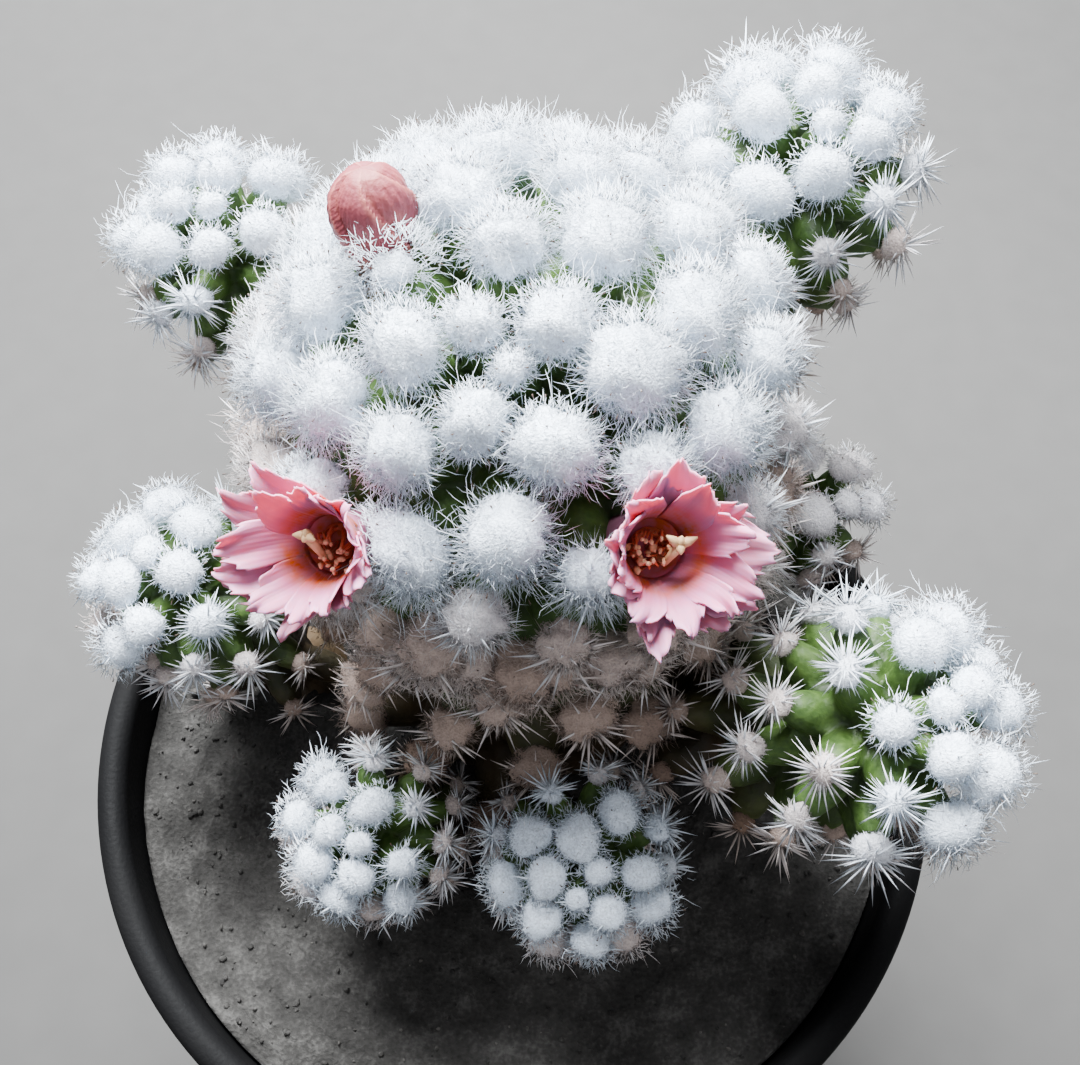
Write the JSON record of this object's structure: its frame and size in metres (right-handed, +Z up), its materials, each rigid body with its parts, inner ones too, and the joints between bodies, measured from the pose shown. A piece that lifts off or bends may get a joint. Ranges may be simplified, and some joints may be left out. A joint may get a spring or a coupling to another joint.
{
  "type": "potted thimble cactus",
  "caption": "White-tufted thimble cactus with offsets, two pink flowers and a bud, standing in soil in a round dark pot.",
  "frame": {"origin": "centre of the pot's flat foot, on the surface that the pot stands on", "axes": "+Z up along the pot's axis; the side with the flowers faces -Y; +X is to the right seen from the front"},
  "size_m": [0.0842, 0.0913, 0.133],
  "materials": {
    "pot": "satin",
    "soil": "matte",
    "stem": "matte",
    "petals": "satin",
    "stamens": "matte",
    "stigma": "matte",
    "bud": "satin"
  },
  "bodies": {
    "root": {"pot": "pot", "soil": "soil", "stem_main": "stem", "offset_back_left": "stem", "offset_back_right": "stem", "offset_left": "stem", "offset_right": "stem", "offset_front_left": "stem", "offset_front": "stem", "offset_side_right": "stem", "flower_left_petals": "petals", "flower_left_stamens": "stamens", "flower_left_stigma": "stigma", "flower_right_petals": "petals", "flower_right_stamens": "stamens", "flower_right_stigma": "stigma", "bud": "bud"}
  },
  "joints": []
}
